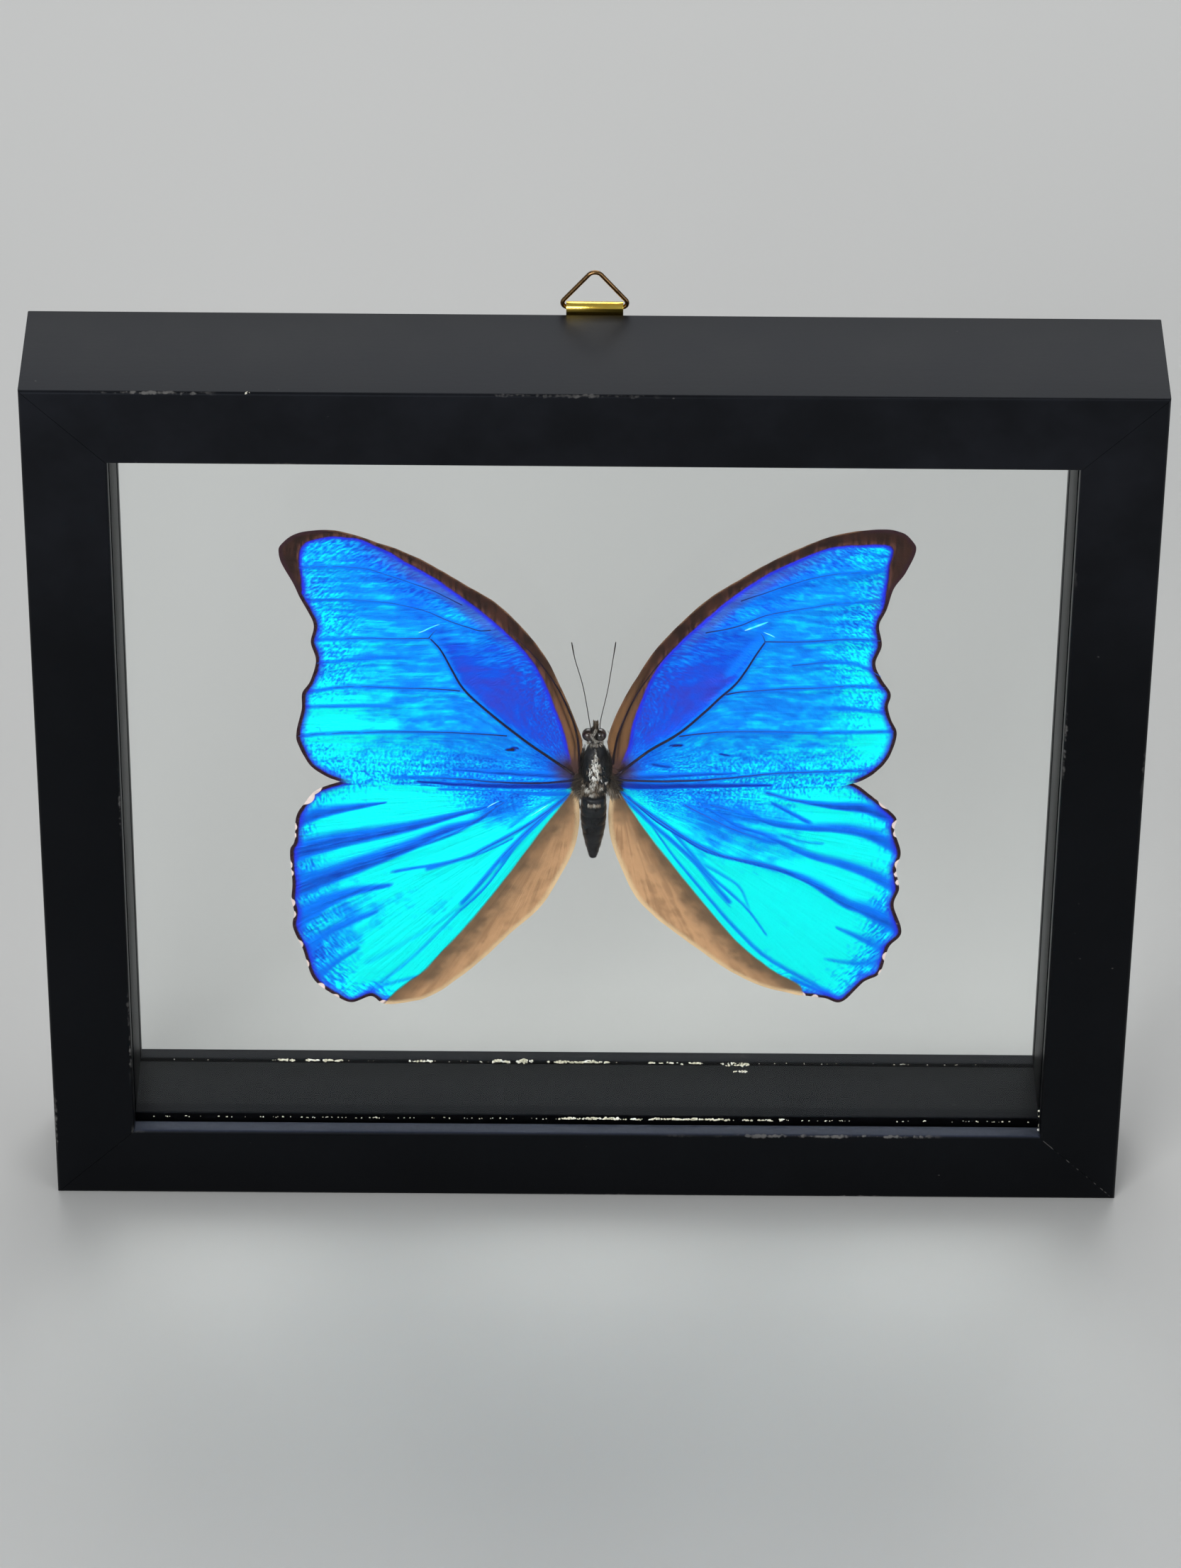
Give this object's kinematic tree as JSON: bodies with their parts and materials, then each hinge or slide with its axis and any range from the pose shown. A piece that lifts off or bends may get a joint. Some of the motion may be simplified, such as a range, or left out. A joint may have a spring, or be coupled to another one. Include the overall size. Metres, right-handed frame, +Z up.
{
  "type": "framed butterfly specimen",
  "caption": "Blue butterfly specimen with spread wings, held between two panes of glass in a black wooden box frame with a swinging brass hanging ring.",
  "frame": {"origin": "middle of the underside of the bottom rail, where the frame stands", "axes": "+X to the right seen from the front, +Y through the glass to the back, +Z up"},
  "size_m": [0.254, 0.0367, 0.2385],
  "materials": {
    "black_wood": "satin black paint, worn on a few edges",
    "clear_glass": "clear flat glass",
    "bright_brass": "polished sheet brass",
    "ring_wire": "brass-plated wire, slightly dulled",
    "blue_wing": "brilliant blue scales with a satin shine",
    "insect_body": "black chitin with short grey and brown hair",
    "clear_glue": "clear dried glue"
  },
  "bodies": {
    "framed_specimen": {"top_rail": "black_wood", "bottom_rail": "black_wood", "left_rail": "black_wood", "right_rail": "black_wood", "spacer_bottom": "black_wood", "spacer_top": "black_wood", "spacer_left": "black_wood", "spacer_right": "black_wood", "rear_stop_bottom": "black_wood", "rear_stop_top": "black_wood", "rear_stop_left": "black_wood", "rear_stop_right": "black_wood", "front_glass": "clear_glass", "rear_glass": "clear_glass", "hanger_strap": "bright_brass", "hanger_nail_left": "bright_brass", "hanger_nail_right": "bright_brass", "left_forewing": "blue_wing", "right_forewing": "blue_wing", "left_hindwing": "blue_wing", "right_hindwing": "blue_wing", "thorax": "insect_body", "abdomen": "insect_body", "head": "insect_body", "left_antenna": "insect_body", "right_antenna": "insect_body", "left_middle_leg": "insect_body", "right_middle_leg": "insect_body", "left_hind_leg": "insect_body", "right_hind_leg": "insect_body", "clear_glue_dab": "clear_glue"},
    "hanging_ring": {"hanger_ring": "ring_wire"}
  },
  "joints": [
    {"name": "ring_swing", "type": "hinge", "parent": "framed_specimen", "child": "hanging_ring", "pos_m": [0, 0.0184, 0.2289], "axis": [1, 0, 0], "range_deg": [-160, 90]}
  ]
}
